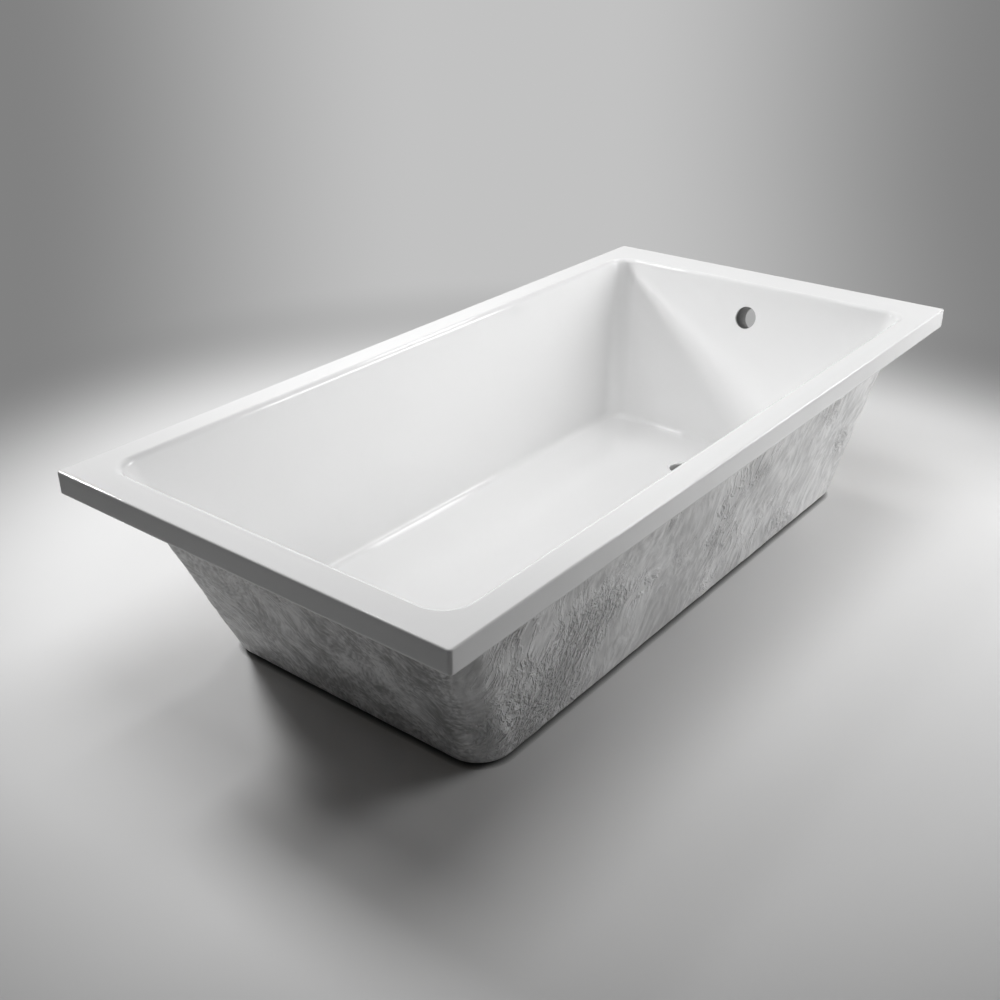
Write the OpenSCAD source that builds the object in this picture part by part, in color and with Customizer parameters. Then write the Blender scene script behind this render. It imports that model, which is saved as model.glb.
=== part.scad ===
// Built-in bath shell: a white acrylic skin, drawn down into a drafted basin, on a glass-fibre jacket that
// boxes in a base board and carries timber rails under the rim.
// Frame: X along the bath with the head end at -X, Y across it, Z up from the floor. The origin is the middle
// of the base.

/* [Overall] */
// Length over the rim
bath_l = 1700; // [1500:10:1800]
// Width over the rim
bath_w = 850; // [700:10:900]

/* [Rim] */
// Flat width of the rim along the long sides
rim_side_w = 45; // [40:1:70]
// Flat width of the rim at the head end
rim_head_w = 52; // [40:1:90]
// Flat width of the rim at the foot end
rim_foot_w = 84; // [80:1:140]
// Height of the skirt that hangs from the rim
skirt_h = 40; // [34:1:60]
// Radius of the rim's four corners in plan
rim_corner_r = 7; // [6.5:0.5:20]
// Radius along the rim's top outer edge
rim_edge_r = 3; // [1:0.5:5]
// Radius where the rim rolls over into the basin
lip_r = 13; // [12.5:0.5:20]

/* [Basin] */
// Depth of the basin at the foot end, from the rim top
basin_depth = 374; // [300:1:460]
// Rise of the floor from the foot end to the head end, which drains it
floor_fall = 13; // [0:1:20]
// Slope of the long sides from upright, in degrees
side_draft = 10; // [4:0.5:14]
// Slope of the head end, the backrest, from upright, in degrees
head_slope = 22; // [15:0.5:32]
// Slope of the foot end from upright, in degrees
foot_slope = 17.5; // [6:0.5:24]
// Radius of the basin's upright corners in plan, at the head end
head_corner_r = 50; // [32:1:90]
// Radius of the basin's upright corners in plan, at the foot end
foot_corner_r = 44; // [32:1:90]
// Radius between the walls and the floor
floor_r = 18; // [10:1:26]

/* [Skins] */
// Thickness of the acrylic sheet
acrylic_t = 5; // [3:0.5:6]
// Thickness of the glass-fibre laminate on the walls
laminate_t = 6; // [3:0.5:6]
// Thickness of the laminate under the rim and under the board
flange_t = 3; // [2:0.5:4]
// Radius along the bottom edge of the jacket
base_r = 24; // [18:1:40]
// Share of the wall laminate's thickness that it loses at the basin's corners, where it is rolled rounder
corner_thinning = 0.5; // [0:0.05:0.6]

/* [Holes] */
// Diameter of the waste hole in the acrylic
waste_d = 52; // [40:1:60]
// Distance of the waste hole's centre from the foot end of the rim
waste_from_foot = 380; // [300:5:500]
// Width of the sunk seat around the waste hole
waste_seat_w = 5; // [2:1:12]
// Depth of the seat around the waste hole
waste_seat_depth = 2; // [0.5:0.5:3]
// Diameter of the overflow hole in the acrylic
overflow_d = 52; // [40:1:60]
// Depth of the overflow hole's centre below the rim top
overflow_depth = 77; // [70:1:110]
// Length of the collar behind the overflow hole
collar_l = 50; // [20:1:54]
// Wall of the collar behind the overflow hole
collar_t = 7; // [3:0.5:10]

/* [Board and rails] */
// Thickness of the base board
board_t = 18; // [12:1:22]
// Thickness of the resin bed between the board and the basin's lowest part
bed_t = 3; // [2:0.5:8]
// Space left around a hole in the acrylic by the holes behind it
backing_gap = 2; // [1:0.5:4]
// Thickness of the laminate that seals the board's hole
board_seal_t = 4; // [2:0.5:6]
// Room for the waste's nut around the back of the sunk seat
nut_room = 4; // [2:1:12]
// Height of the timber rails under the rim
rail_h = 22; // [12:1:24]
// Width of the rails along the long sides
side_rail_w = 22; // [16:1:24]
// Width of the rail at the head end
head_rail_w = 26; // [18:1:28]
// Width of the rail at the foot end
foot_rail_w = 44; // [20:1:46]

/* [Hidden] */
// Glue line between the acrylic and the laminate
bond = 0.2;
// Straight pieces in each quarter turn of a corner in plan, of a lip and of a fillet
corner_n = 8;
lip_n = 5;
fillet_n = 6;
edge_n = 3;
round_n = 96;
// Overshoot of a cut past the face that it leaves through
cut = 1;
// The least radius of a corner of the basin and of the rim
least_r = 2;
least_rim_r = 0.5;
half_l = bath_l / 2;
half_w = bath_w / 2;
// Height of the rim top above the floor: everything that is stacked under it at the basin's lowest part
bath_h = basin_depth + acrylic_t + bed_t + board_t + flange_t;
backing_off = acrylic_t + bond;
jacket_off = acrylic_t + laminate_t;
// What the rounder outside adds to the corner radius of the jacket
corner_gain = corner_thinning * laminate_t / (sqrt(2) - 1);
// Height of the flat underside of the laminate under the rim, where the rails are bonded
rail_top = bath_h - backing_off - flange_t;
// Space between the skirt and the rails
rail_gap = 3;

// ---- Places ----

foot_wall_x = half_l - rim_foot_w - lip_reach(foot_slope);
waste_x = half_l - waste_from_foot;
waste_floor_z = bath_h - basin_depth + fall_at(waste_x, basin_depth);
overflow_at = [foot_wall_x - overflow_depth * tan(foot_slope), 0, bath_h - overflow_depth];
// Radii of the holes: behind the overflow, then the waste's seat, the back of the seat and the nut's room
behind_r = overflow_d / 2 + backing_gap;
seat_r = waste_d / 2 + waste_seat_w;
seat_back_r = seat_r + acrylic_t;
nut_r = seat_back_r + nut_room;
// The board lies on the laminate under it, clear of the rounded bottom edge
board_in_d = bath_h - flange_t;
board_margin = laminate_t + base_r / 2;
board_x0 = rim_head_w + lip_reach(head_slope) + board_in_d * tan(head_slope) - half_l + board_margin;
board_x1 = foot_wall_x - board_in_d * tan(foot_slope) - board_margin;
board_half_w = half_w - rim_side_w - lip_reach(side_draft) - board_in_d * tan(side_draft) - board_margin;
side_rail_y = half_w - acrylic_t - rail_gap - side_rail_w / 2;
side_rail_l = bath_l - 2 * (acrylic_t + rail_gap);
end_rail_l = bath_w - 2 * (acrylic_t + rail_gap + side_rail_w);

// ---- The basin's section: how far a wall stands in at a depth below the rim top ----

// Distance from the end of the rim's flat to where the wall's straight line meets the rim's plane
function lip_reach(slope) = lip_r * (1 - sin(slope)) / cos(slope);

// Inset of a face from that meeting line, at depth d: the roll of the lip, the straight wall, then the bottom
// radius. The face lies off behind the basin's own surface, and its bottom is flat at depth floor_d.
function inset(d, slope, off, floor_d, bottom_r) =
    d < lip_r - (lip_r - off) * sin(slope)
        ? sqrt(max(0, pow(lip_r - off, 2) - pow(lip_r - d, 2))) - lip_reach(slope)
        : d <= floor_d - bottom_r * (1 - sin(slope))
            ? d * tan(slope) - off / cos(slope)
            : (floor_d - bottom_r) * tan(slope) + (bottom_r - off) / cos(slope)
                - sqrt(max(0, pow(bottom_r, 2) - pow(d - floor_d + bottom_r, 2)));

// Depths at which rings are laid: round the lip, at the two ends of the straight wall, and round the bottom
function lip_depths(off) =
    [for (i = [0 : lip_n]) lip_r - (lip_r - off) * cos(i * (90 - side_draft) / lip_n)];
function bottom_depths(floor_d, bottom_r) =
    let (from = side_draft, step = (90 - side_draft) / fillet_n)
    [for (i = [0 : fillet_n]) floor_d - bottom_r + bottom_r * sin(from + i * step)];

// One quarter corner of a ring in plan, centred at c
function corner(c, r, from) =
    [for (i = [0 : corner_n])
        let (turn = from + i * 90 / corner_n)
        [c[0] + r * cos(turn), c[1] + r * sin(turn)]];

// A rounded rectangle in plan from x0 to x1 and w wide to each side, anticlockwise, with corners of radius r0
// at the head end and r1 at the foot end
function plan(x0, x1, w, r0, r1) = concat(
    corner([x1 - r1, r1 - w], r1, -90),
    corner([x1 - r1, w - r1], r1, 0),
    corner([x0 + r0, w - r0], r0, 90),
    corner([x0 + r0, r0 - w], r0, 180));

// Height of a point at nominal depth d: the floor rises towards the head end in step with the depth
function fall_at(x, d) =
    floor_fall * (half_l - rim_foot_w - x) / (bath_l - rim_head_w - rim_foot_w) * d / basin_depth;

// A ring of the basin at depth d, lying off behind the basin's surface, with gain added to its corner radii
function basin_ring(d, off, floor_d, bottom_r, gain, fall) =
    let (side = inset(d, side_draft, off, floor_d, bottom_r),
         turn = off + gain + d * tan(side_draft) - off / cos(side_draft) - side,
         x0 = rim_head_w + lip_reach(head_slope) + inset(d, head_slope, off, floor_d, bottom_r) - half_l,
         x1 = foot_wall_x - inset(d, foot_slope, off, floor_d, bottom_r),
         w = half_w - rim_side_w - lip_reach(side_draft) - side)
    [for (p = plan(x0, x1, w, max(least_r, head_corner_r + turn), max(least_r, foot_corner_r + turn)))
        [p[0], p[1], bath_h - d + (fall ? fall_at(p[0], d) : 0)]];

// A ring of the rim, inset all round by in, at depth d
function rim_ring(in, d) =
    let (r = max(least_rim_r, rim_corner_r - in))
    [for (p = plan(in - half_l, half_l - in, half_w - in, r, r)) [p[0], p[1], bath_h - d]];

// Closes a stack of rings into a solid, with a flat cap at both ends. The rings run down where the solid
// faces outwards and up where it faces into the basin.
module skin(rings) {
    m = len(rings[0]);
    n = len(rings);
    points = [for (ring = rings) each ring];
    sides = [for (k = [0 : n - 2]) for (i = [0 : m - 1])
        let (a = k * m + i, b = k * m + (i + 1) % m)
        each [[a, b, b + m], [a, b + m, a + m]]];
    first = [for (i = [0 : m - 1]) m - 1 - i];
    last = [for (i = [0 : m - 1]) (n - 1) * m + i];
    polyhedron(points, concat(sides, [first, last]), convexity = 6);
}

// Rings down a basin surface from the lip to the floor
function basin_rings(off, floor_d, bottom_r, gain, fall) =
    [for (d = concat(lip_depths(off), bottom_depths(floor_d, bottom_r)))
        basin_ring(d, off, floor_d, bottom_r, gain, fall)];

function reversed(list) = [for (i = [len(list) - 1 : -1 : 0]) list[i]];

// Rings down the outside of the rim, round its top edge to the lower edge of the skirt
function rim_outside() = concat(
    [for (i = [edge_n : -1 : 0])
        let (turn = i * 90 / edge_n)
        rim_ring(rim_edge_r * (1 - cos(turn)), rim_edge_r * (1 - sin(turn)))],
    [rim_ring(0, skirt_h)]);

// Moves a child's +Z onto the foot wall's outward normal, at the centre of the overflow hole
module at_overflow() {
    translate(overflow_at) rotate([0, 90 + foot_slope, 0]) children();
}

// A round rod or hole on the waste's axis, from height z up
module at_waste(z, h, r) {
    translate([waste_x, 0, z]) cylinder(h = h, r = r, $fn = round_n);
}

// ---- The pieces ----

// One drawn sheet: up the basin's face, over the lip and the rim, down the skirt, and back under it all
module acrylic_shell() {
    face = basin_rings(0, basin_depth, floor_r, 0, true);
    back = basin_rings(acrylic_t, basin_depth + acrylic_t, floor_r + acrylic_t, 0, true);
    under_rim = [rim_ring(acrylic_t, skirt_h), rim_ring(acrylic_t, acrylic_t)];
    color("white") difference() {
        union() {
            skin(concat(reversed(face), rim_outside(), under_rim, back));
            at_waste(waste_floor_z - acrylic_t - waste_seat_depth, acrylic_t, seat_back_r);
        }
        at_waste(waste_floor_z - waste_seat_depth, floor_r, seat_r);
        at_waste(0, bath_h, waste_d / 2);
        at_overflow() translate([0, 0, -lip_r])
            cylinder(h = 2 * lip_r + acrylic_t, d = overflow_d, $fn = round_n);
    }
}

// Everything inside the back of the acrylic, with the glue line
module basin_block() {
    rings = basin_rings(backing_off, basin_depth + backing_off, floor_r + backing_off, 0, true);
    top = [for (p = rings[0]) [p[0], p[1], bath_h + cut]];
    skin(concat([top], rings));
}

// The sheet of laminate under the rim, with the walls and the base below it, still solid
module jacket_block() {
    rings = basin_rings(jacket_off, bath_h, base_r, corner_gain, false);
    walls = [for (ring = rings) if (ring[0][2] < rail_top) ring];
    neck = [for (p = walls[0]) [p[0], p[1], rail_top]];
    skin(concat([rim_ring(backing_off, backing_off), rim_ring(backing_off, bath_h - rail_top), neck], walls));
}

module glass_fibre_jacket() {
    color("gray") difference() {
        jacket_block();
        basin_block();
        base_board();
        at_waste(-cut, bath_h / 2, nut_r);
        at_overflow() translate([0, 0, -lip_r]) cylinder(h = 3 * lip_r, r = behind_r, $fn = round_n);
    }
}

module base_board() {
    color("tan") difference() {
        translate([board_x0, -board_half_w, flange_t])
            cube([board_x1 - board_x0, 2 * board_half_w, board_t]);
        at_waste(0, bath_h / 2, nut_r + board_seal_t);
    }
}

// A rail of the given size, centred at [x, y] with its top against the laminate under the rim
module rail(x, y, length, width) {
    color("burlywood") translate([x - length / 2, y - width / 2, rail_top - rail_h])
        cube([length, width, rail_h]);
}

module near_rail() { rail(0, -side_rail_y, side_rail_l, side_rail_w); }
module far_rail() { rail(0, side_rail_y, side_rail_l, side_rail_w); }
module head_rail() { rail(acrylic_t + rail_gap + head_rail_w / 2 - half_l, 0, head_rail_w, end_rail_l); }
module foot_rail() { rail(half_l - acrylic_t - rail_gap - foot_rail_w / 2, 0, foot_rail_w, end_rail_l); }

module overflow_collar() {
    color("dimgray") at_overflow() translate([0, 0, jacket_off]) difference() {
        cylinder(h = collar_l, r = behind_r + collar_t, $fn = round_n);
        translate([0, 0, -cut]) cylinder(h = collar_l + 2 * cut, r = behind_r, $fn = round_n);
    }
}

acrylic_shell();
glass_fibre_jacket();
base_board();
near_rail();
far_rail();
head_rail();
foot_rail();
overflow_collar();
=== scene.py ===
import math

import bmesh
import bpy
import numpy as np
from mathutils import Matrix, Vector


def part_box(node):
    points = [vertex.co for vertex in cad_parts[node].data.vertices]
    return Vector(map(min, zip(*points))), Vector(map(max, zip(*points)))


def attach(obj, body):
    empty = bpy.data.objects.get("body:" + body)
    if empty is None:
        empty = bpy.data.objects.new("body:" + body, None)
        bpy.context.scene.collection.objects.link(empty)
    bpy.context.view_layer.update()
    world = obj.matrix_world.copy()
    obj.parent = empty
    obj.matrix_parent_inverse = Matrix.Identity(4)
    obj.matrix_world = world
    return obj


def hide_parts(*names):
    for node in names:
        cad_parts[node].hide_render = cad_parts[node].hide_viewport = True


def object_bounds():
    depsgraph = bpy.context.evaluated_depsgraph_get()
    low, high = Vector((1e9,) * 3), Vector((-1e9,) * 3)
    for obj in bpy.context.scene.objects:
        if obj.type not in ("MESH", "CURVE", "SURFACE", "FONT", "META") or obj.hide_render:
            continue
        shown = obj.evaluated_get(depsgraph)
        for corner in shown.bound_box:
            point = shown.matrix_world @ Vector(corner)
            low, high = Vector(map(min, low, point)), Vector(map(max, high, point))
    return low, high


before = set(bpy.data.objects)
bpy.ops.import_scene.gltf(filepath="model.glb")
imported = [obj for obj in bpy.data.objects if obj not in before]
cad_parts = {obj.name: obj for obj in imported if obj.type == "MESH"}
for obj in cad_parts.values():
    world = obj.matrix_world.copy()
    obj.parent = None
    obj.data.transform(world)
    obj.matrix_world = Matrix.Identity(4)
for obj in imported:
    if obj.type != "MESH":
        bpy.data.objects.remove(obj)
cad_bounds = [list(corner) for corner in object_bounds()]


# ---- Acrylic shell -------------------------------------------------------------------------------
# One sheet of white cast acrylic, heated and drawn over a mould: skirt, rim, rolled lip and drafted basin
# in one skin of even thickness. The waste and overflow holes are cut afterwards and their edges are
# rubbed round.

half_l, half_w, rim_top = cad_bounds[1]
sheet_t = 0.005
rim_side_w, rim_head_w, rim_foot_w = 0.045, 0.052, 0.084
skirt_h = 0.040
rim_corner_r, rim_edge_r, lip_r = 0.007, 0.003, 0.013
basin_depth, floor_fall = 0.374, 0.013
side_draft, head_slope, foot_slope = math.radians(10), math.radians(22), math.radians(17.5)
head_corner_r, foot_corner_r, floor_r = 0.050, 0.044, 0.018
least_r, least_rim_r = 0.002, 0.0005

waste_r, waste_from_foot = 0.026, 0.380
seat_r, seat_depth, seat_back_r = 0.031, 0.002, 0.036
overflow_r, overflow_depth = 0.026, 0.077
cut_edge_r = 0.0009


def lip_reach(slope):
    """From the end of the rim's flat to where the wall's straight line meets the rim's plane."""
    return lip_r * (1 - math.sin(slope)) / math.cos(slope)


def inset(d, slope, off, floor_d, bottom_r):
    """How far a wall stands in at depth d: the lip's roll, the straight wall, then the bottom radius."""
    if d < lip_r - (lip_r - off) * math.sin(slope):
        return math.sqrt(max(0.0, (lip_r - off) ** 2 - (lip_r - d) ** 2)) - lip_reach(slope)
    if d <= floor_d - bottom_r * (1 - math.sin(slope)):
        return d * math.tan(slope) - off / math.cos(slope)
    run = math.sqrt(max(0.0, bottom_r ** 2 - (d - floor_d + bottom_r) ** 2))
    return (floor_d - bottom_r) * math.tan(slope) + (bottom_r - off) / math.cos(slope) - run


def fall_at(x, d):
    """The floor rises towards the head end, so that it drains, and the walls rise with it."""
    return floor_fall * (half_l - rim_foot_w - x) / (2 * half_l - rim_head_w - rim_foot_w) * d / basin_depth


def plan(x0, x1, w, r0, r1, steps):
    """A rounded rectangle, anticlockwise. steps divides its corners and its foot, side and head edges."""
    centres = ((x1 - r1, r1 - w, r1), (x1 - r1, w - r1, r1), (x0 + r0, w - r0, r0), (x0 + r0, r0 - w, r0))
    arcs = []
    for turns, (x, y, r) in enumerate(centres):
        angle = (turns - 1 + steps["corner"]) * math.pi / 2
        arcs.append(np.column_stack([x + r * np.cos(angle), y + r * np.sin(angle)]))
    points = []
    for k, edge in enumerate(("foot", "side", "head", "side")):
        start, end = arcs[k][-1], arcs[(k + 1) % 4][0]
        points += [arcs[k], start + (end - start) * steps[edge][1:-1, None]]
    return np.concatenate(points)


def basin_ring(d, off, floor_d, bottom_r, steps, gain=0.0, fall=True):
    """A ring of the basin at depth d, lying off behind its face, with gain added to the corner radii."""
    side = inset(d, side_draft, off, floor_d, bottom_r)
    turn = off + gain + d * math.tan(side_draft) - off / math.cos(side_draft) - side
    x0 = rim_head_w + lip_reach(head_slope) + inset(d, head_slope, off, floor_d, bottom_r) - half_l
    x1 = half_l - rim_foot_w - lip_reach(foot_slope) - inset(d, foot_slope, off, floor_d, bottom_r)
    w = half_w - rim_side_w - lip_reach(side_draft) - side
    xy = plan(x0, x1, w, max(least_r, head_corner_r + turn), max(least_r, foot_corner_r + turn), steps)
    return np.column_stack([xy, rim_top - d + fall * fall_at(xy[:, 0], d)])


def rim_ring(inward, d, steps):
    """A ring of the rim, inset all round, at depth d."""
    r = max(least_rim_r, rim_corner_r - inward)
    xy = plan(inward - half_l, half_l - inward, half_w - inward, r, r, steps)
    return np.column_stack([xy, np.full(len(xy), rim_top - d)])


def lip_rings(layer, count):
    """Rings round the roll of the lip, from the end of the rim's flat down to the wall."""
    angles = np.linspace(0, math.pi / 2 - side_draft, count + 1)
    off = layer["off"]
    return [basin_ring(d, **layer) for d in lip_r - (lip_r - off) * np.cos(angles)]


def bottom_rings(layer, count):
    """Rings round the bottom radius, from the wall down to the floor."""
    angles = np.linspace(side_draft, math.pi / 2, count + 1)
    return [basin_ring(d, **layer) for d in layer["floor_d"] - layer["bottom_r"] * (1 - np.sin(angles))]


def between(a, b, shares):
    """Rings that lie part of the way from ring a to ring b."""
    return [a + (b - a) * share for share in shares]


waste_x = half_l - waste_from_foot
waste_z = rim_top - basin_depth + fall_at(waste_x, basin_depth)


def waste_ring(r, dz, like, level=1.0):
    """A ring round the waste's axis with a point for each of like's, in the floor's slope at level 0."""
    angle = np.arctan2(like[:, 1], like[:, 0] - waste_x)
    x, y = waste_x + r * np.cos(angle), r * np.sin(angle)
    slope = fall_at(x, basin_depth) - fall_at(waste_x, basin_depth)
    return np.column_stack([x, y, waste_z + dz + slope * (1 - level)])


overflow_x = half_l - rim_foot_w - lip_reach(foot_slope) - overflow_depth * math.tan(foot_slope)
overflow_at = np.array([overflow_x, 0.0, rim_top - overflow_depth])
overflow_out = np.array([math.cos(foot_slope), 0.0, -math.sin(foot_slope)])
overflow_down = np.array([-math.sin(foot_slope), 0.0, -math.cos(foot_slope)])
overflow_side = np.array([0.0, 1.0, 0.0])


def overflow_ring(r, behind, like):
    """A ring round the overflow's axis, behind the foot wall's face, with a point for each of like's."""
    away = like - overflow_at
    angle = np.arctan2(away @ overflow_down, away @ overflow_side)[:, None]
    spoke = np.cos(angle) * overflow_side + np.sin(angle) * overflow_down
    return overflow_at + overflow_out * behind + r * spoke


def quarter(r, count):
    """Steps round a quarter turn of radius r, as pairs of how far it has run and how far it has dropped."""
    return [(r * math.sin(a), r * (1 - math.cos(a))) for a in np.linspace(0, math.pi / 2, count + 1)]


class Skin:
    """The surface of a piece, gathered ring by ring. A ring is known by its points' numbers."""

    def __init__(self):
        self.points = []
        self.faces = []
        self.count = 0

    def rings(self, rings):
        numbers = []
        for ring in rings:
            self.points.append(ring)
            numbers.append(np.arange(self.count, self.count + len(ring)))
            self.count += len(ring)
        return numbers

    def tube(self, rows, windows=()):
        """Quads from row to row, without those of the windows, each given as (row, column, cells)."""
        for k, (a, b) in enumerate(zip(rows, rows[1:])):
            keep = np.ones(len(a), bool)
            for row, column, cells in windows:
                if row <= k < row + cells:
                    keep[column:column + cells] = False
            self.faces += np.stack([a, np.roll(a, -1), np.roll(b, -1), b], -1)[keep].tolist()

    def place(self, numbers):
        return np.concatenate(self.points)[numbers]


def round_window(rows, column, cells):
    """The numbers round a window in rows, once round from its upper left corner."""
    i0, i1 = column, column + cells
    right, left = [row[i1] for row in rows[:-1]], [row[i0] for row in rows[:0:-1]]
    return np.concatenate([rows[0][i0:i1], right, rows[-1][i1:i0:-1], left])


def new_piece(name, skin, material):
    """A smooth-shaded piece of a closed skin, with its faces turned outwards."""
    points = np.concatenate(skin.points)
    used = np.unique(np.concatenate(skin.faces))
    number = np.zeros(len(points), int)
    number[used] = np.arange(len(used))
    mesh = bpy.data.meshes.new(name)
    mesh.from_pydata(points[used].tolist(), [], [number[face].tolist() for face in skin.faces])
    made = bmesh.new()
    made.from_mesh(mesh)
    if made.calc_volume(signed=True) < 0:
        bmesh.ops.reverse_faces(made, faces=made.faces)
    made.to_mesh(mesh)
    made.free()
    mesh.polygons.foreach_set("use_smooth", [True] * len(mesh.polygons))
    mesh.materials.append(material)
    piece = bpy.data.objects.new(name, mesh)
    bpy.context.scene.collection.objects.link(piece)
    return piece


def node(tree, kind, inputs=None, **settings):
    """A node of a material or a geometry tree. An input takes a value or another node's output."""
    made = tree.nodes.new(kind)
    for name, value in settings.items():
        setattr(made, name, value)
    for name, value in (inputs or {}).items():
        if isinstance(value, bpy.types.NodeSocket):
            tree.links.new(value, made.inputs[name])
        else:
            made.inputs[name].default_value = value
    return made


def new_material(name, **sockets):
    """A material with a Principled shader, whose even values stand on its own sockets."""
    made = bpy.data.materials.new(name)
    made.use_nodes = True
    shader = made.node_tree.nodes["Principled BSDF"]
    for socket, value in sockets.items():
        shader.inputs[socket.replace("_", " ")].default_value = value
    return made, made.node_tree, shader


def grey(value):
    return (value, value, value, 1.0)


def tones(tree, factor, low, high):
    """A colour that runs from low to high with factor."""
    mixed = node(tree, "ShaderNodeMix", {"Factor": factor}, data_type="RGBA")
    mixed.inputs[6].default_value, mixed.inputs[7].default_value = low, high
    return mixed.outputs[2]


def roughen(tree, shader, factor, low, high):
    """Makes the shader's roughness run from low to high with factor."""
    rough = node(tree, "ShaderNodeMapRange", {"Value": factor, "To Min": low, "To Max": high})
    tree.links.new(rough.outputs["Result"], shader.inputs["Roughness"])


def emboss(tree, shader, height, strength, distance):
    """Gives the shader's face a bump that follows height."""
    bump = node(tree, "ShaderNodeBump", {"Height": height, "Strength": strength, "Distance": distance})
    tree.links.new(bump.outputs["Normal"], shader.inputs["Normal"])


def gloss_acrylic():
    """White with a mirror gloss, a faint drift of tone and the slight unevenness of a drawn sheet."""
    made, tree, shader = new_material("gloss_acrylic", IOR=1.49)
    place = node(tree, "ShaderNodeTexCoord").outputs["Object"]
    drift = node(tree, "ShaderNodeTexNoise", {"Vector": place, "Scale": 3.0, "Detail": 3.0})
    tree.links.new(tones(tree, drift.outputs["Fac"], grey(0.87), grey(0.90)), shader.inputs["Base Color"])
    haze = node(tree, "ShaderNodeTexNoise", {"Vector": place, "Scale": 14.0, "Detail": 4.0})
    roughen(tree, shader, haze.outputs["Fac"], 0.025, 0.05)
    wave = node(tree, "ShaderNodeTexNoise", {"Vector": place, "Scale": 11.0, "Detail": 1.0})
    emboss(tree, shader, wave.outputs["Fac"], strength=0.10, distance=0.003)
    return made


window_cells = 12
window_start, window_end = 0.42, 0.58
foot_window = np.linspace(window_start, window_end, window_cells + 1)
foot_aside = np.linspace(0, window_start, 12)[:-1]
shell_steps = {
    "corner": np.linspace(0, 1, 21),
    "foot": np.concatenate([foot_aside, foot_window, 1 - foot_aside[::-1]]),
    "side": np.linspace(0, 1, 51),
    "head": np.linspace(0, 1, 25),
}
window_column = len(shell_steps["corner"]) - 1 + len(foot_aside)
window_reach = 0.048
over_window = np.array([0.012, 0.015, 0.020])
window_depths = np.linspace(overflow_depth - window_reach, overflow_depth + window_reach, window_cells + 1)
under_window = np.append(np.linspace(0.147, 0.345, 10), 0.354)
wall_depths = np.concatenate([over_window, window_depths, under_window])
skirt_depths, skirt_back_depths = (0.036, 0.022, 0.008, 0.0042), (0.008, 0.022)
rim_shares, rim_back_shares = (0.05, 0.35, 0.65, 0.95), (0.1, 0.9, 1.0)
floor_shares, floor_back_shares = (0.012, 0.06, 0.2, 0.4, 0.6, 0.8, 0.94, 0.99), (0, 0.03, 0.3, 0.6, 0.9)
hole_shares = (0.45, 0.8, 0.96)


def acrylic_shell():
    """Up the skirt, over the rim and lip, down the basin into the waste hole, and back behind it all."""
    steps = shell_steps
    face = {"off": 0.0, "floor_d": basin_depth, "bottom_r": floor_r, "steps": steps}
    back = {"off": sheet_t, "floor_d": basin_depth + sheet_t, "bottom_r": floor_r + sheet_t, "steps": steps}
    skirt_end = skirt_h - cut_edge_r / 2
    rings = [rim_ring(cut_edge_r / 2, skirt_h, steps)]
    rings += [rim_ring(0, d, steps) for d in (skirt_end, *skirt_depths)]
    rings += [rim_ring(drop, rim_edge_r - run, steps) for run, drop in quarter(rim_edge_r, 6)]
    lip = lip_rings(face, count=12)
    rings += between(rings[-1], lip[0], rim_shares) + lip
    face_row = len(rings) + len(over_window)
    rings += [basin_ring(d, **face) for d in wall_depths] + bottom_rings(face, count=9)

    floor = rings[-1]
    seat_edge = waste_ring(seat_r + cut_edge_r, 0, floor, level=0)
    rings += between(floor, seat_edge, floor_shares)
    for run, drop in quarter(cut_edge_r, 3):
        rings.append(waste_ring(seat_r + cut_edge_r - run, -drop, floor, level=drop / seat_depth))
    for run, drop in quarter(cut_edge_r, 3):
        dz = cut_edge_r - run - seat_depth
        rings.append(waste_ring(seat_r - drop, dz, floor, level=-dz / seat_depth))
    for run, drop in quarter(cut_edge_r, 3):
        rings.append(waste_ring(waste_r + cut_edge_r - run, -seat_depth - drop, floor))
    seat_back = -seat_depth - sheet_t
    for run, drop in quarter(cut_edge_r, 2):
        rings.append(waste_ring(waste_r + drop, seat_back + cut_edge_r - run, floor))
    rings += [waste_ring(seat_back_r - cut_edge_r, seat_back, floor),
              waste_ring(seat_back_r, seat_back + cut_edge_r, floor)]
    under = bottom_rings(back, count=6)[::-1]
    rings += between(waste_ring(seat_back_r, -sheet_t, floor, level=0), under[0], floor_back_shares)
    rings += under
    back_row = len(rings) + len(under_window)
    rings += [basin_ring(d, **back) for d in wall_depths[::-1]]
    rings += lip_rings(back, count=6)[::-1]
    rings += between(rings[-1], rim_ring(sheet_t, sheet_t, steps), rim_back_shares)
    rings += [rim_ring(sheet_t, d, steps) for d in (*skirt_back_depths, skirt_end)]
    rings.append(rim_ring(sheet_t - cut_edge_r / 2, skirt_h, steps))

    skin = Skin()
    rows = skin.rings(rings)
    skin.tube(rows + rows[:1], [(row, window_column, window_cells) for row in (face_row, back_row)])
    front = round_window(rows[face_row:face_row + window_cells + 1], window_column, window_cells)
    behind = round_window(rows[back_row:back_row + window_cells + 1][::-1], window_column, window_cells)
    like = skin.place(front)
    edge = overflow_r + cut_edge_r
    hole = between(like, overflow_ring(edge, 0, like), hole_shares)
    hole += [overflow_ring(edge - run, drop, like) for run, drop in quarter(cut_edge_r, 4)]
    hole += [overflow_ring(overflow_r + drop, sheet_t - cut_edge_r + run, like)
             for run, drop in quarter(cut_edge_r, 2)]
    skin.tube([front] + skin.rings(hole) + [behind])
    return skin


shell = new_piece("acrylic_basin_and_rim", acrylic_shell(), gloss_acrylic())
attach(shell, "root")
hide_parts("acrylic_shell")


# ---- Glass-fibre jacket --------------------------------------------------------------------------
# Chopped glass and grey resin, sprayed over the back of the drawn sheet and worked down with brush and
# roller. It stiffens the basin, runs out under the rim as a flange, and boxes in the base board. Its face
# stays raw.

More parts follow.
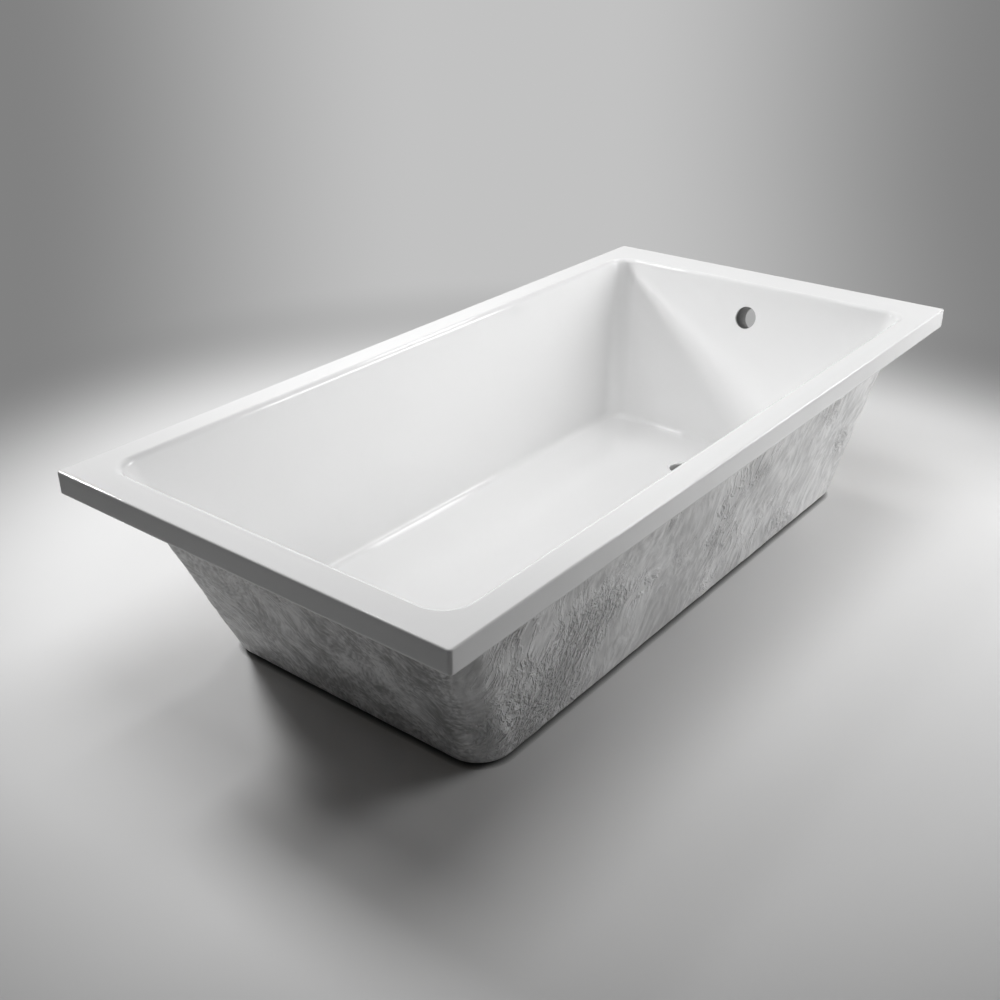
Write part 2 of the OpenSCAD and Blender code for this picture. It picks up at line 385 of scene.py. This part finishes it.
laminate_t, flange_t = 0.006, 0.003
base_r = 0.024
glue_line = 0.0002
backing_off = sheet_t + glue_line
jacket_off = sheet_t + laminate_t
corner_thinning = 0.5
corner_gain = corner_thinning * laminate_t / (math.sqrt(2) - 1)
rail_top = rim_top - backing_off - flange_t
nut_r = 0.040
hole_gap = 0.002
behind_r = overflow_r + hole_gap
collar_land = 0.012
worn_edge, flange_edge = 0.0015, 0.0005

flange_shares, base_shares = (0.3, 0.7, 0.97, 1.0), (0.01, 0.04, 0.3, 0.7, 1.0)
thinning = 4
thinning_land = 0.006
relief_cell = 0.0055
relief_counts = {"corner": 16, "foot": 112, "side": 272, "head": 112}
fine_steps = {edge: np.linspace(0, 1, count + 1) for edge, count in relief_counts.items()}
coarse_steps = {edge: np.linspace(0, 1, count // thinning + 1) for edge, count in relief_counts.items()}


def thin_out(skin, fine, coarse, inwards=True):
    """Faces between a ring of points and one with a quarter as many."""
    for k, ahead in enumerate(np.roll(coarse, -1)):
        row = [fine[(thinning * k + i) % len(fine)] for i in range(thinning + 1)]
        face = row + [ahead, coarse[k]]
        skin.faces.append([int(i) for i in (face if inwards else face[::-1])])


def pierced_at(off):
    """Depth at which the overflow's axis goes through the foot wall's layer at off."""
    return overflow_depth + off * math.sin(foot_slope)


def evenly(start, end, cell):
    return np.linspace(start, end, max(2, round((end - start) / cell) + 1))


def jacket():
    """Down the raw outside and into the nut's hole, then up behind the acrylic to the flange's edge."""
    outer = {"off": jacket_off, "floor_d": rim_top, "bottom_r": base_r, "steps": fine_steps,
             "gain": corner_gain, "fall": False}
    inner = {"off": backing_off, "floor_d": basin_depth + backing_off, "bottom_r": floor_r + backing_off,
             "steps": coarse_steps}
    half = 8
    window = pierced_at(jacket_off) + relief_cell * np.arange(-half, half + 1)
    wall_start, wall_end = 0.0135, rim_top - base_r * (1 - math.sin(side_draft)) - 0.003
    above = evenly(wall_start, window[0], relief_cell)[:-1]
    below = evenly(window[-1], wall_end, relief_cell)[1:]
    flange = [(worn_edge, backing_off), (0, backing_off + flange_edge),
              (0, rim_top - rail_top - flange_edge), (flange_edge, rim_top - rail_top)]
    rings = [rim_ring(backing_off + inward, d, fine_steps) for inward, d in flange]
    lip = lip_rings(outer, count=2)
    neck = lip[0].copy()
    neck[:, 2] = rail_top
    rings += between(rings[-1], neck, flange_shares) + lip
    outer_row = len(rings) + len(above)
    rings += [basin_ring(d, **outer) for d in np.concatenate([above, window, below])]
    rings += bottom_rings(outer, count=7)
    base = rings[-1]
    on_floor = -waste_z
    rings += between(base, waste_ring(nut_r + worn_edge, on_floor, base), base_shares)
    rings += [waste_ring(nut_r, on_floor + worn_edge, base),
              waste_ring(nut_r, -backing_off - worn_edge, base, level=0),
              waste_ring(nut_r + worn_edge, -backing_off, base, level=0)]
    skin = Skin()
    rows = skin.rings(rings)
    column = relief_counts["corner"] + relief_counts["foot"] // 2 - half
    skin.tube(rows, [(outer_row, column, 2 * half)])
    front = round_window(rows[outer_row:outer_row + 2 * half + 1], column, 2 * half)

    few = half // thinning
    window = pierced_at(backing_off) + relief_cell * thinning * np.arange(-few, few + 1)
    back_start, back_end, rows_under = 0.020, 0.352, 9
    under = np.linspace(window[-1] + 0.03, back_end, rows_under)
    depths = np.concatenate([[back_start], window, under])
    inside = bottom_rings(inner, count=3)[::-1]
    nut_land = waste_ring(nut_r + thinning_land, -backing_off, inside[0], level=0)
    inside = between(nut_land, inside[0], (0, 0.5)) + inside
    inner_row = len(inside) + rows_under
    inside += [basin_ring(d, **inner) for d in depths[::-1]] + lip_rings(inner, count=4)[::-1]
    rim_land = rim_ring(backing_off + thinning_land, backing_off, coarse_steps)
    inside += between(inside[-1], rim_land, (0.5, 1.0))
    back_rows = skin.rings(inside)
    column = (relief_counts["corner"] + relief_counts["foot"] // 2) // thinning - few
    skin.tube(back_rows, [(inner_row, column, 2 * few)])
    behind = round_window(back_rows[inner_row:inner_row + 2 * few + 1][::-1], column, 2 * few)
    thin_out(skin, rows[-1], back_rows[0])
    thin_out(skin, rows[0], back_rows[-1], inwards=False)

    like = skin.place(front)
    bore = between(like, overflow_ring(behind_r + collar_land, jacket_off, like), (0.5, 1.0))
    bore += [overflow_ring(behind_r + worn_edge, jacket_off, like),
             overflow_ring(behind_r, jacket_off - worn_edge / 2, like),
             overflow_ring(behind_r, backing_off + worn_edge / 2, like),
             overflow_ring(behind_r + worn_edge, backing_off, like)]
    bore_rows = skin.rings(bore)
    skin.tube([front] + bore_rows)
    thin_out(skin, bore_rows[-1], behind)
    return skin


def maths_in(tree):
    """A short way to write one tree's arithmetic."""
    def maths(operation, *values):
        return node(tree, "ShaderNodeMath", dict(enumerate(values)), operation=operation).outputs[0]
    return maths


def raw_laminate(lean):
    """Grey resin over glass: smooth and blotchy at the head end, brushed into ridges along the sides, and
    crumbly in patches, most of all low down by the head."""
    made, tree, shader = new_material("raw_laminate", IOR=1.5)
    place = node(tree, "ShaderNodeTexCoord").outputs["Object"]
    maths = maths_in(tree)

    def spread(value, low, high):
        return node(tree, "ShaderNodeMapRange", {"Value": value, "From Min": low, "From Max": high},
                    interpolation_type="SMOOTHSTEP").outputs["Result"]

    def clouds(scale, detail, output="Fac"):
        noise = node(tree, "ShaderNodeTexNoise", {"Vector": place, "Scale": scale, "Detail": detail})
        return noise.outputs[output]

    sway = node(tree, "ShaderNodeVectorMath", {0: clouds(5.0, 2.0, "Color"), 1: (0.5, 0.5, 0.5)},
                operation="SUBTRACT").outputs[0]
    swept = node(tree, "ShaderNodeVectorMath", {0: sway, 1: (0.16, 0.16, 0.16), 2: place},
                 operation="MULTIPLY_ADD").outputs[0]

    def strokes(width, length, detail):
        """Noise drawn out along the brush's lean."""
        shape = {"Vector": swept, "Rotation": lean, "Scale": (width, width, length)}
        drawn = node(tree, "ShaderNodeMapping", shape, vector_type="TEXTURE").outputs[0]
        noise = node(tree, "ShaderNodeTexNoise", {"Vector": drawn, "Scale": 1.0, "Detail": detail})
        return noise.outputs["Fac"]

    turned = node(tree, "ShaderNodeAttribute", attribute_name="side_share").outputs["Fac"]
    side = spread(maths("ADD", turned, maths("MULTIPLY", clouds(8.0, 3.0), 0.6)), 0.55, 0.95)
    blots = maths("MULTIPLY", clouds(10.0, 9.0), 0.32)
    broad = maths("MULTIPLY_ADD", strokes(0.05, 0.15, 5.0), 0.30, blots)
    smears = spread(maths("MULTIPLY_ADD", strokes(0.008, 0.020, 5.0), 0.38, broad), 0.38, 0.62)
    wash = maths("MULTIPLY_ADD", strokes(0.014, 0.07, 6.0), 0.5, maths("MULTIPLY", clouds(6.0, 6.0), 0.5))
    wash = spread(wash, 0.38, 0.64)
    head_tone = tones(tree, smears, grey(0.32), grey(0.86))
    side_tone = tones(tree, wash, grey(0.53), grey(0.79))
    both = node(tree, "ShaderNodeMix", {"Factor": side}, data_type="RGBA")
    tree.links.new(head_tone, both.inputs[6])
    tree.links.new(side_tone, both.inputs[7])
    tree.links.new(both.outputs[2], shader.inputs["Base Color"])

    along = node(tree, "ShaderNodeSeparateXYZ", {"Vector": place}).outputs
    low_head = maths("MULTIPLY", spread(along["X"], -0.20, -0.48), spread(along["Z"], 0.32, 0.08))
    crumbs = spread(strokes(0.010, 0.013, 3.0), 0.43, 0.60)
    crumbly = spread(maths("MULTIPLY_ADD", low_head, 0.38, clouds(4.0, 3.0)), 0.63, 0.80)
    ridges = maths("ABSOLUTE", maths("MULTIPLY_ADD", strokes(0.016, 0.044, 3.0), 2.0, -1.0))
    ridges = spread(maths("SUBTRACT", 1.0, ridges), 0.83, 0.99)
    ridged = spread(maths("MULTIPLY_ADD", low_head, 0.08, clouds(7.0, 3.0)), 0.48, 0.66)
    relief = maths("MULTIPLY", crumbs, crumbly)
    relief = maths("ADD", relief, maths("MULTIPLY", ridges, maths("MULTIPLY", ridged, 0.8)))
    relief = maths("MULTIPLY", relief, maths("MULTIPLY_ADD", side, 0.94, 0.06))
    relief = maths("MULTIPLY_ADD", strokes(0.040, 0.100, 4.0), 0.8, relief)
    emboss(tree, shader, relief, strength=1.0, distance=0.0042)
    roughen(tree, shader, smears, 0.36, 0.56)
    return made


def brush_share(mesh):
    """How much of the brush's relief each point takes: all of it on the walls, none where things seat."""
    base_flat, base_fade = 0.003, 0.022
    flange_flat, flange_fade = 0.014, 0.016
    collar_reach, collar_fade = 0.042, 0.020
    points = np.array([v.co for v in mesh.vertices])
    normals = np.array([v.normal for v in mesh.vertices])
    outside = (points[:, :2] * normals[:, :2]).sum(1) > 0
    off_floor = np.clip((points[:, 2] - base_flat) / base_fade, 0, 1)
    off_flange = np.clip((rim_top - flange_flat - points[:, 2]) / flange_fade, 0, 1)
    from_collar = np.linalg.norm(points - overflow_at, axis=1)
    off_collar = np.clip((from_collar - collar_reach) / collar_fade, 0, 1)
    off_waste = np.linalg.norm(points[:, :2] - (waste_x, 0), axis=1) > 2 * nut_r
    return outside * off_floor * off_flange * off_collar * off_waste


def side_share(mesh):
    """How far each point faces the bath's long sides rather than its ends."""
    end_most, blend = 0.35, 0.5
    normals = np.array([v.normal for v in mesh.vertices])
    level = np.maximum(np.linalg.norm(normals[:, :2], axis=1), 1e-6)
    return np.clip((np.abs(normals[:, 1]) / level - end_most) / blend, 0, 1)


def geometry_tree(name, **inputs):
    """A geometry tree with named inputs, given as (socket type, value), and one geometry output."""
    tree = bpy.data.node_groups.new(name, "GeometryNodeTree")
    tree.interface.new_socket("Geometry", in_out="INPUT", socket_type="NodeSocketGeometry")
    for label, (kind, value) in inputs.items():
        socket = tree.interface.new_socket(label, in_out="INPUT", socket_type="NodeSocket" + kind)
        if kind != "Object":
            socket.default_value = value
    tree.interface.new_socket("Geometry", in_out="OUTPUT", socket_type="NodeSocketGeometry")
    return tree, tree.nodes.new("NodeGroupInput").outputs


def hand_over(tree, geometry, material):
    """The end of a geometry tree: whole geometry in one material."""
    whole = node(tree, "GeometryNodeRealizeInstances", {"Geometry": geometry}).outputs[0]
    coated = node(tree, "GeometryNodeSetMaterial", {"Geometry": whole, "Material": material}).outputs[0]
    node(tree, "NodeGroupOutput", {"Geometry": coated})


def brush_relief():
    """Moves the raw face along its normals: leaning brush strokes, broad lumps and small crinkles. The base
    board's shape, turned inside out, is then the space that the laminate leaves for it."""
    tree, given = geometry_tree(
        "brush_relief", height=("Float", 0.0), stroke_width=("Float", 0.0), stroke_length=("Float", 0.0),
        lump_size=("Float", 0.0), crinkle_size=("Float", 0.0), lean=("Vector", (0, 0, 0)),
        seed=("Float", 0.0), board=("Object", None), material=("Material", None))
    place = node(tree, "GeometryNodeInputPosition").outputs[0]
    maths = maths_in(tree)

    def noise(at, scale, detail):
        shape = {"Vector": at, "W": given["seed"], "Scale": scale, "Detail": detail}
        return node(tree, "ShaderNodeTexNoise", shape, noise_dimensions="4D").outputs

    swerve = node(tree, "ShaderNodeVectorMath", {0: noise(place, 6.0, 2.0)["Color"], 1: (0.5, 0.5, 0.5)},
                  operation="SUBTRACT").outputs[0]
    wandering = node(tree, "ShaderNodeVectorMath", {0: swerve, 1: (0.09, 0.09, 0.09), 2: place},
                     operation="MULTIPLY_ADD").outputs[0]
    upright = node(tree, "ShaderNodeVectorRotate", {"Vector": wandering, "Rotation": given["lean"]},
                   rotation_type="EULER_XYZ", invert=True).outputs[0]
    size = node(tree, "ShaderNodeCombineXYZ", {0: given["stroke_width"], 1: given["stroke_width"],
                                               2: given["stroke_length"]}).outputs[0]
    along = node(tree, "ShaderNodeVectorMath", {0: upright, 1: size}, operation="DIVIDE").outputs[0]
    stroke = noise(along, 1.0, 3.0)["Fac"]
    lump = noise(place, maths("DIVIDE", 1.0, given["lump_size"]), 2.0)["Fac"]
    crinkle = noise(wandering, maths("DIVIDE", 1.0, given["crinkle_size"]), 2.0)["Fac"]
    crinkle = maths("ABSOLUTE", maths("SUBTRACT", crinkle, 0.5))
    total = maths("ADD", maths("ADD", maths("SUBTRACT", stroke, 0.5), maths("SUBTRACT", lump, 0.5)),
                  maths("MULTIPLY", crinkle, -0.8))
    share = node(tree, "GeometryNodeInputNamedAttribute", {"Name": "brush_share"}, data_type="FLOAT")
    lift = maths("MULTIPLY", maths("MULTIPLY", total, given["height"]), share.outputs[0])
    normal = node(tree, "GeometryNodeInputNormal").outputs[0]
    offset = node(tree, "ShaderNodeVectorMath", {0: normal, "Scale": lift}, operation="SCALE").outputs[0]
    raised = node(tree, "GeometryNodeSetPosition", {"Geometry": given["Geometry"], "Offset": offset})

    board = node(tree, "GeometryNodeObjectInfo", {"Object": given["board"]}).outputs["Geometry"]
    board = node(tree, "GeometryNodeMergeByDistance", {"Geometry": board, "Distance": 1e-5}).outputs[0]
    space = node(tree, "GeometryNodeFlipFaces", {"Mesh": board}).outputs[0]
    joined = node(tree, "GeometryNodeJoinGeometry")
    tree.links.new(space, joined.inputs[0])
    tree.links.new(raised.outputs[0], joined.inputs[0])
    hand_over(tree, joined.outputs[0], given["material"])
    return tree


def baked(piece, tree, **values):
    """The piece with a geometry tree applied to its mesh, as a plain mesh."""
    modifier = piece.modifiers.new(tree.name, "NODES")
    modifier.node_group = tree
    for item in tree.interface.items_tree:
        if item.in_out == "INPUT" and item.name in values:
            modifier[item.identifier] = values[item.name]
    bpy.context.view_layer.update()
    seen = piece.evaluated_get(bpy.context.evaluated_depsgraph_get())
    made = bpy.data.meshes.new_from_object(seen)
    piece.modifiers.remove(modifier)
    piece.data = made
    return piece


stroke_lean = Vector((0.40, 0.27, 1.0)).to_track_quat("Z", "Y").to_euler()
laminate = new_piece("glass_fibre_jacket_raw_face", jacket(), raw_laminate(stroke_lean))
for name, share_of in (("brush_share", brush_share), ("side_share", side_share)):
    shares = share_of(laminate.data)
    attribute = laminate.data.attributes.new(name, "FLOAT", "POINT")
    attribute.data.foreach_set("value", shares.astype(np.float32))
baked(laminate, brush_relief(), height=0.0050, stroke_width=0.018, stroke_length=0.09, lump_size=0.085,
      crinkle_size=0.020, lean=tuple(stroke_lean), seed=4.0, board=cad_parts["base_board"],
      material=laminate.data.materials[0])
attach(laminate, "root")
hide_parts("glass_fibre_jacket")


# ---- Base board ----------------------------------------------------------------------------------
# A resin-sealed chipboard panel, laid on the back of the floor and laminated over. It makes the bath stand
# flat and carries the bather's weight to the floor. Its hole leaves the waste's nut free.

def chipboard():
    """Pressed flakes of several browns, without sheen."""
    made, tree, shader = new_material("chipboard", Roughness=0.85)
    place = node(tree, "ShaderNodeTexCoord").outputs["Object"]
    flakes = node(tree, "ShaderNodeTexVoronoi", {"Vector": place, "Scale": 210.0, "Randomness": 1.0})
    tone = node(tree, "ShaderNodeSeparateColor", {"Color": flakes.outputs["Color"]}).outputs[0]
    browns = tones(tree, tone, (0.30, 0.20, 0.11, 1), (0.56, 0.42, 0.25, 1))
    tree.links.new(browns, shader.inputs["Base Color"])
    emboss(tree, shader, tone, strength=0.4, distance=0.0006)
    return made


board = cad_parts["base_board"]
board.data.materials.clear()
board.data.materials.append(chipboard())


# ---- Rails ---------------------------------------------------------------------------------------
# Four planed softwood battens, bonded under the rim behind the skirt: one along each side and one across
# each end. They stiffen the rim and take the screws of brackets and panels.

arris_r = 0.0012


def softwood(grain):
    """Pale planed pine with its grain along one axis: growth rings, fine pores and a dull face."""
    made, tree, shader = new_material("softwood_along_" + grain, Roughness=0.7)
    turned = {"x": (0, 0, 0), "y": (0, 0, math.pi / 2)}[grain]
    maths = maths_in(tree)
    place = node(tree, "ShaderNodeTexCoord").outputs["Object"]
    along = node(tree, "ShaderNodeMapping", {"Vector": place, "Rotation": turned}).outputs[0]
    stretched = node(tree, "ShaderNodeVectorMath", {0: along, 1: (0.06, 1.0, 1.0)},
                     operation="MULTIPLY").outputs[0]
    sway = node(tree, "ShaderNodeTexNoise", {"Vector": stretched, "Scale": 22.0, "Detail": 2.0})
    rings = maths("FRACT", maths("MULTIPLY", sway.outputs["Fac"], 9.0))
    pores = node(tree, "ShaderNodeTexNoise", {"Vector": stretched, "Scale": 900.0, "Detail": 2.0})
    figure = maths("MULTIPLY_ADD", pores.outputs["Fac"], 0.35, rings)
    browns = tones(tree, figure, (0.63, 0.45, 0.25, 1), (0.42, 0.25, 0.11, 1))
    tree.links.new(browns, shader.inputs["Base Color"])
    emboss(tree, shader, pores.outputs["Fac"], strength=0.3, distance=0.0005)
    return made


def batten_tree():
    """A straight batten from start to end, with its four long edges eased."""
    tree, given = geometry_tree(
        "planed_batten", start=("Vector", (0, 0, 0)), end=("Vector", (1, 0, 0)), width=("Float", 0.02),
        height=("Float", 0.02), arris=("Float", 0.001), material=("Material", None))
    ends = {"Start": given["start"], "End": given["end"]}
    run = node(tree, "GeometryNodeCurvePrimitiveLine", ends).outputs[0]
    level = node(tree, "GeometryNodeSetCurveNormal", {"Curve": run}, mode="Z_UP").outputs[0]
    sides = {"Width": given["width"], "Height": given["height"]}
    section = node(tree, "GeometryNodeCurvePrimitiveQuadrilateral", sides).outputs[0]
    eased = node(tree, "GeometryNodeFilletCurve", {"Curve": section, "Radius": given["arris"], "Count": 3},
                 mode="POLY").outputs[0]
    sweep = {"Curve": level, "Profile Curve": eased, "Fill Caps": True}
    solid = node(tree, "GeometryNodeCurveToMesh", sweep)
    flat = node(tree, "GeometryNodeSetShadeSmooth", {"Geometry": solid.outputs[0], "Shade Smooth": False})
    hand_over(tree, flat.outputs[0], given["material"])
    return tree


batten = batten_tree()
timber = {grain: softwood(grain) for grain in "xy"}
for rail, grain in (("near_rail", "x"), ("far_rail", "x"), ("head_rail", "y"), ("foot_rail", "y")):
    low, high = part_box(rail)
    middle = (low + high) / 2
    size = high - low
    along = Vector((size.x / 2, 0, 0)) if grain == "x" else Vector((0, size.y / 2, 0))
    piece = bpy.data.objects.new(rail + "_batten", bpy.data.meshes.new(rail + "_batten"))
    bpy.context.scene.collection.objects.link(piece)
    baked(piece, batten, start=tuple(middle - along), end=tuple(middle + along),
          width=size.y if grain == "x" else size.x, height=size.z, arris=arris_r, material=timber[grain])
    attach(piece, "root")
    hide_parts(rail)


# ---- Overflow collar -----------------------------------------------------------------------------
# A short length of glass-fibre tube, bonded on the laminate behind the overflow hole in line with its
# axis. The overflow's elbow pushes into it from behind.

collar_wall, collar_l = 0.007, 0.050
collar_edge_r = 0.0012
collar_points = 96


def raw_tube_painted_shade():
    """Grey resin tube, left unpainted: mottled, slightly rough and dull. Its dark grey is partly painted
    shade, for the shaded bore seen through the overflow hole.
    """
    made, tree, shader = new_material("raw_tube_painted_shade", IOR=1.5)
    place = node(tree, "ShaderNodeTexCoord").outputs["Object"]
    patches = node(tree, "ShaderNodeTexNoise", {"Vector": place, "Scale": 120.0, "Detail": 5.0})
    # Painted shade: the tube's dark grey stands in partly for the shade inside the overflow's bore.
    tree.links.new(tones(tree, patches.outputs["Fac"], grey(0.15), grey(0.26)), shader.inputs["Base Color"])
    roughen(tree, shader, patches.outputs["Fac"], 0.40, 0.65)
    emboss(tree, shader, patches.outputs["Fac"], strength=0.5, distance=0.0006)
    return made


def collar():
    """Out along the tube's outside, over its rounded end and back along its bore."""
    angle = np.linspace(0, 2 * math.pi, collar_points + 1)[:-1, None]
    like = overflow_at + np.cos(angle) * overflow_side + np.sin(angle) * overflow_down
    near, far = jacket_off, jacket_off + collar_l
    outer_r = behind_r + collar_wall
    rings = [overflow_ring(outer_r, near + share * collar_l, like) for share in (0, 0.25, 0.5, 0.75)]
    rings += [overflow_ring(outer_r - drop, far - collar_edge_r + run, like)
              for run, drop in quarter(collar_edge_r, 3)]
    for run, drop in quarter(collar_edge_r, 3)[::-1]:
        rings.append(overflow_ring(behind_r + drop, far - collar_edge_r + run, like))
    rings += [overflow_ring(behind_r, far - share * collar_l, like) for share in (0.25, 0.5, 0.75)]
    rings += [overflow_ring(behind_r, near, like)]
    skin = Skin()
    rows = skin.rings(rings)
    skin.tube(rows + rows[:1])
    return skin


tube = new_piece("overflow_collar_tube", collar(), raw_tube_painted_shade())
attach(tube, "root")
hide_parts("overflow_collar")


# ---- Studio --------------------------------------------------------------------------------------
# Not part of the bath: a pale floor that rolls up into a wall all round, six soft lamps and the camera.
# The floor is cut out where the bath stands on it, so that the underside can be looked at from below.

middle_reach, floor_reach, wall_reach, wall_top = 1.5, 3.4, 6.0, 6.0
cut_half_l, cut_half_w, cut_squareness = 0.619, 0.289, 16
floor_drop, floor_points = 0.0004, 96
fan_from, fan_turn = (-2.6, -2.0, 0), math.radians(38.4)


def studio_grey():
    """Pale and even round the bath, with a painted contact shadow: a thin dark line where the bath touches
    it. Further out it takes the backdrop's greys, paler in a broad fan of light."""
    made, tree, shader = new_material("studio_grey", Roughness=0.6)
    maths = maths_in(tree)
    place = node(tree, "ShaderNodeTexCoord").outputs["Object"]
    level = node(tree, "ShaderNodeVectorMath", {0: place, 1: (1, 1, 0)}, operation="MULTIPLY").outputs[0]
    away = node(tree, "ShaderNodeVectorMath", {0: level}, operation="LENGTH").outputs["Value"]
    far = node(tree, "ShaderNodeMapRange", {"Value": away, "From Min": 0.95, "From Max": 2.0},
               interpolation_type="SMOOTHSTEP").outputs["Result"]
    # Painted contact shadow: ambient occlusion darkens the floor's colour where the bath stands on it.
    painted_contact_shade = node(tree, "ShaderNodeAmbientOcclusion", {"Distance": 0.012}, samples=8).outputs["AO"]
    paint = {0: tones(tree, far, grey(0.79), grey(0.08)), "Scale": maths("POWER", painted_contact_shade, 1.3)}
    tone = node(tree, "ShaderNodeVectorMath", paint, operation="SCALE").outputs[0]
    tree.links.new(tone, shader.inputs["Base Color"])
    aim = {"Vector": place, "Location": fan_from, "Rotation": (0, 0, fan_turn)}
    fan = node(tree, "ShaderNodeMapping", aim, vector_type="TEXTURE").outputs[0]
    along, across, _ = node(tree, "ShaderNodeSeparateXYZ", {0: fan}).outputs
    turn = maths("ABSOLUTE", maths("ARCTAN2", across, along))
    short = node(tree, "ShaderNodeMapRange", {"Value": along, "From Min": 3.4, "From Max": 2.4})
    turn = maths("MULTIPLY_ADD", short.outputs["Result"], 0.4, turn)
    pool = node(tree, "ShaderNodeMapRange", {"Value": turn, "From Min": 0.06, "From Max": 0.33},
                interpolation_type="SMOOTHSTEP").outputs["Result"]
    glow = tones(tree, pool, grey(0.54), grey(0.22))
    backdrop = node(tree, "ShaderNodeEmission", {"Color": glow}).outputs[0]
    ray = node(tree, "ShaderNodeLightPath").outputs
    seen = maths("MAXIMUM", ray["Is Camera Ray"], ray["Is Glossy Ray"])
    seen = maths("MULTIPLY", maths("MAXIMUM", seen, ray["Is Transmission Ray"]), far)
    lit = node(tree, "ShaderNodeMixShader", {0: seen, 1: shader.outputs[0], 2: backdrop}).outputs[0]
    behind = node(tree, "ShaderNodeNewGeometry").outputs["Backfacing"]
    clear = node(tree, "ShaderNodeBsdfTransparent").outputs[0]
    one_sided = node(tree, "ShaderNodeMixShader", {0: behind, 1: lit, 2: clear}).outputs[0]
    tree.links.new(one_sided, tree.nodes["Material Output"].inputs["Surface"])
    return made


angle = np.linspace(0, 2 * math.pi, floor_points + 1)[:-1]
round_about = np.column_stack([np.cos(angle), np.sin(angle), np.zeros(floor_points)])
under_bath = (np.abs(round_about[:, :2] / (cut_half_l, cut_half_w)) ** cut_squareness).sum(axis=1)
under_bath = under_bath[:, None] ** (-1 / cut_squareness)
roll = [(floor_reach + run, rise) for run, rise in quarter(wall_reach - floor_reach, 24)]
profile = [(wall_reach, wall_top)] + roll[::-1] + [(middle_reach, 0)]
bowl = Skin()
bowl.tube(bowl.rings([round_about * r + (0, 0, z) for r, z in profile] + [round_about * under_bath]))
made = bpy.data.meshes.new("studio_floor")
made.from_pydata(np.concatenate(bowl.points).tolist(), [], bowl.faces)
made.polygons.foreach_set("use_smooth", [True] * len(made.polygons))
made.materials.append(studio_grey())
floor = bpy.data.objects.new("studio_floor", made)
floor.location.z = -floor_drop
bpy.context.scene.collection.objects.link(floor)


lamps_look_at = Vector((0.1, 0, 0.2))


def softbox(name, at, size, power, spread=180):
    """A soft lamp, turned to the middle of the bath and not seen itself. A grid can narrow its spread."""
    lamp = bpy.data.lights.new(name, "AREA")
    lamp.shape = "RECTANGLE"
    lamp.size, lamp.size_y = size
    lamp.energy = power
    lamp.spread = math.radians(spread)
    stand = bpy.data.objects.new(name, lamp)
    stand.location = at
    stand.rotation_euler = (lamps_look_at - Vector(at)).to_track_quat("-Z", "Y").to_euler()
    stand.visible_camera = False
    bpy.context.scene.collection.objects.link(stand)


softbox("overhead", (0.0, 0.0, 3.4), (2.0, 2.0), 32)
softbox("far_side", (-0.25, 2.6, 1.9), (0.6, 0.5), 60)
softbox("far_high", (0.2, 1.7, 2.9), (1.2, 0.25), 7)
softbox("near_foot", (1.6, -1.5, 0.92), (1.1, 0.9), 27)
softbox("foot_side", (2.0, 0.0, 2.45), (0.9, 0.5), 12)
softbox("into_the_bath", (-1.0, 0.0, 1.5), (0.5, 0.4), 0.90, spread=60)

world = bpy.data.worlds.new("studio_air")
world.use_nodes = True
air = world.node_tree
toward = node(air, "ShaderNodeTexCoord").outputs["Generated"]
level = node(air, "ShaderNodeSeparateXYZ", {0: toward}).outputs["Z"]
below = node(air, "ShaderNodeMapRange", {"Value": level, "From Min": -0.05, "From Max": -0.15})
sky = tones(air, below.outputs["Result"], grey(0.05), grey(0.30))
air.links.new(sky, air.nodes["Background"].inputs["Color"])
bpy.context.scene.world = world

lens = bpy.data.cameras.new("camera")
lens.lens, lens.sensor_width = 44.17, 36.0
camera = bpy.data.objects.new("camera", lens)
camera_right = Vector((0.61974, -0.7848, -0.00463))
camera_up = Vector((0.36252, 0.28104, 0.88859))
camera_back = Vector((-0.69606, -0.55237, 0.45867))
camera.matrix_world = Matrix.Translation((-1.8184, -1.2758, 1.2822)) @ Matrix(
    (camera_right, camera_up, camera_back)).transposed().to_4x4()
bpy.context.scene.collection.objects.link(camera)
bpy.context.scene.camera = camera
bpy.context.scene.view_settings.view_transform = "Standard"
